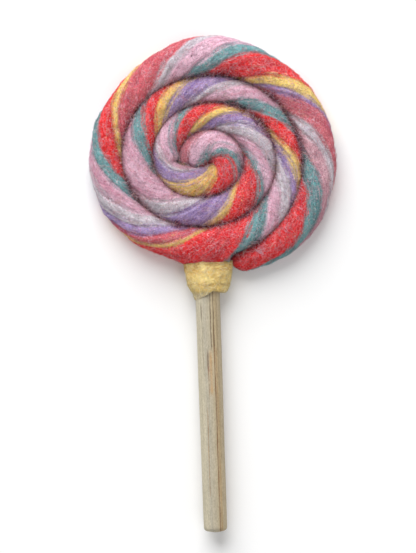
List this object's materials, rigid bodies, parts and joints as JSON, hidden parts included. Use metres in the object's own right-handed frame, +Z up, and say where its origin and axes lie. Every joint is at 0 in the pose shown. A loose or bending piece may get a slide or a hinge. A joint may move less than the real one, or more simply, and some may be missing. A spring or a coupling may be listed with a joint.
{
  "type": "felt toy swirl lollipop",
  "caption": "Needle-felted wool toy of a swirl lollipop: a coiled rope of twisted coloured wool on a wooden dowel, with a yellow felt collar.",
  "frame": {"origin": "middle of the bounding box seen from above, on the floor that the swirl rests on", "axes": "+Z up, out of the shown face; +Y along the dowel towards the swirl; +X to the right of the shown face"},
  "size_m": [0.0826, 0.1652, 0.0125],
  "materials": {
    "swirl_wool": "soft matt wool felt in red, yellow, lilac, white, pale pink and teal, twisted together",
    "collar_felt": "matt yellow wool felt",
    "dowel_wood": "bare pale wood, unvarnished"
  },
  "bodies": {
    "root": {"felt_swirl": "swirl_wool", "felt_collar": "collar_felt", "dowel_stick": "dowel_wood"}
  },
  "joints": []
}
